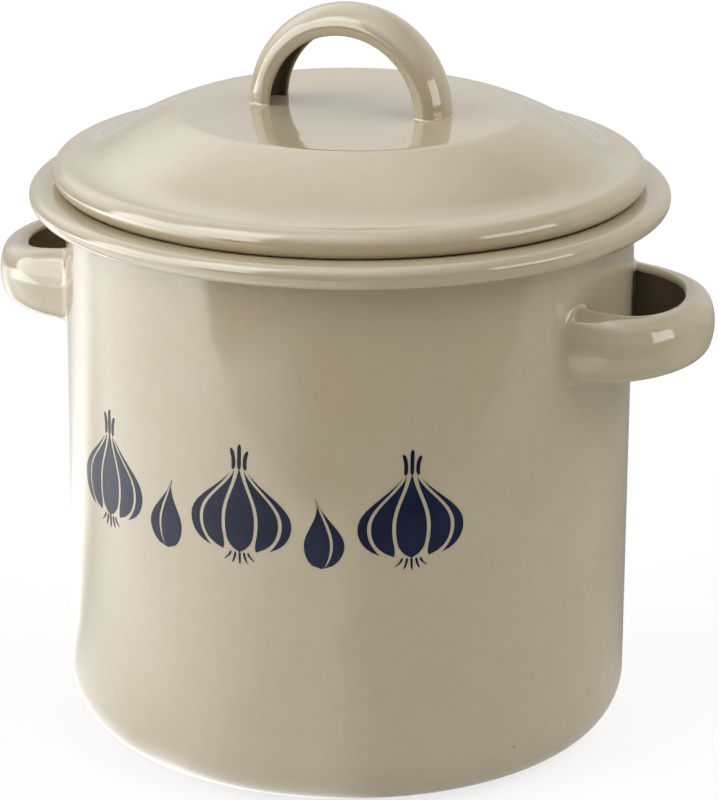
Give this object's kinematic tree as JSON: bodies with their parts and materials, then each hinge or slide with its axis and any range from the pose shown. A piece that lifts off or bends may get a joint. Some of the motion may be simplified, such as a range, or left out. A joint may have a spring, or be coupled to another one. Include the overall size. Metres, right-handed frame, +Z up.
{
  "type": "garlic keeper",
  "caption": "Round enamelled steel storage pot with a rolled rim, two pressed strap handles and a domed lift-off lid with a strap handle, for keeping garlic bulbs.",
  "frame": {"origin": "centre of the base, on the plane of its resting ring", "axes": "+Z up along the pot's axis, front (printed side) towards -Y, side handles along +X and -X"},
  "size_m": [0.1666, 0.1416, 0.165],
  "materials": {
    "enamel": "glossy vitreous enamel on steel, warm clay colour",
    "print": "glossy navy fired-on enamel print"
  },
  "bodies": {
    "pot": {"pot_body": "enamel", "side_handle_right": "enamel", "side_handle_left": "enamel"},
    "lid": {"lid_shell": "enamel", "lid_collar": "enamel", "lid_handle": "enamel"}
  },
  "joints": [
    {"name": "lid_lift", "type": "slide", "parent": "pot", "child": "lid", "axis": [0, 0, 1], "range_m": [0, 0.1]}
  ]
}
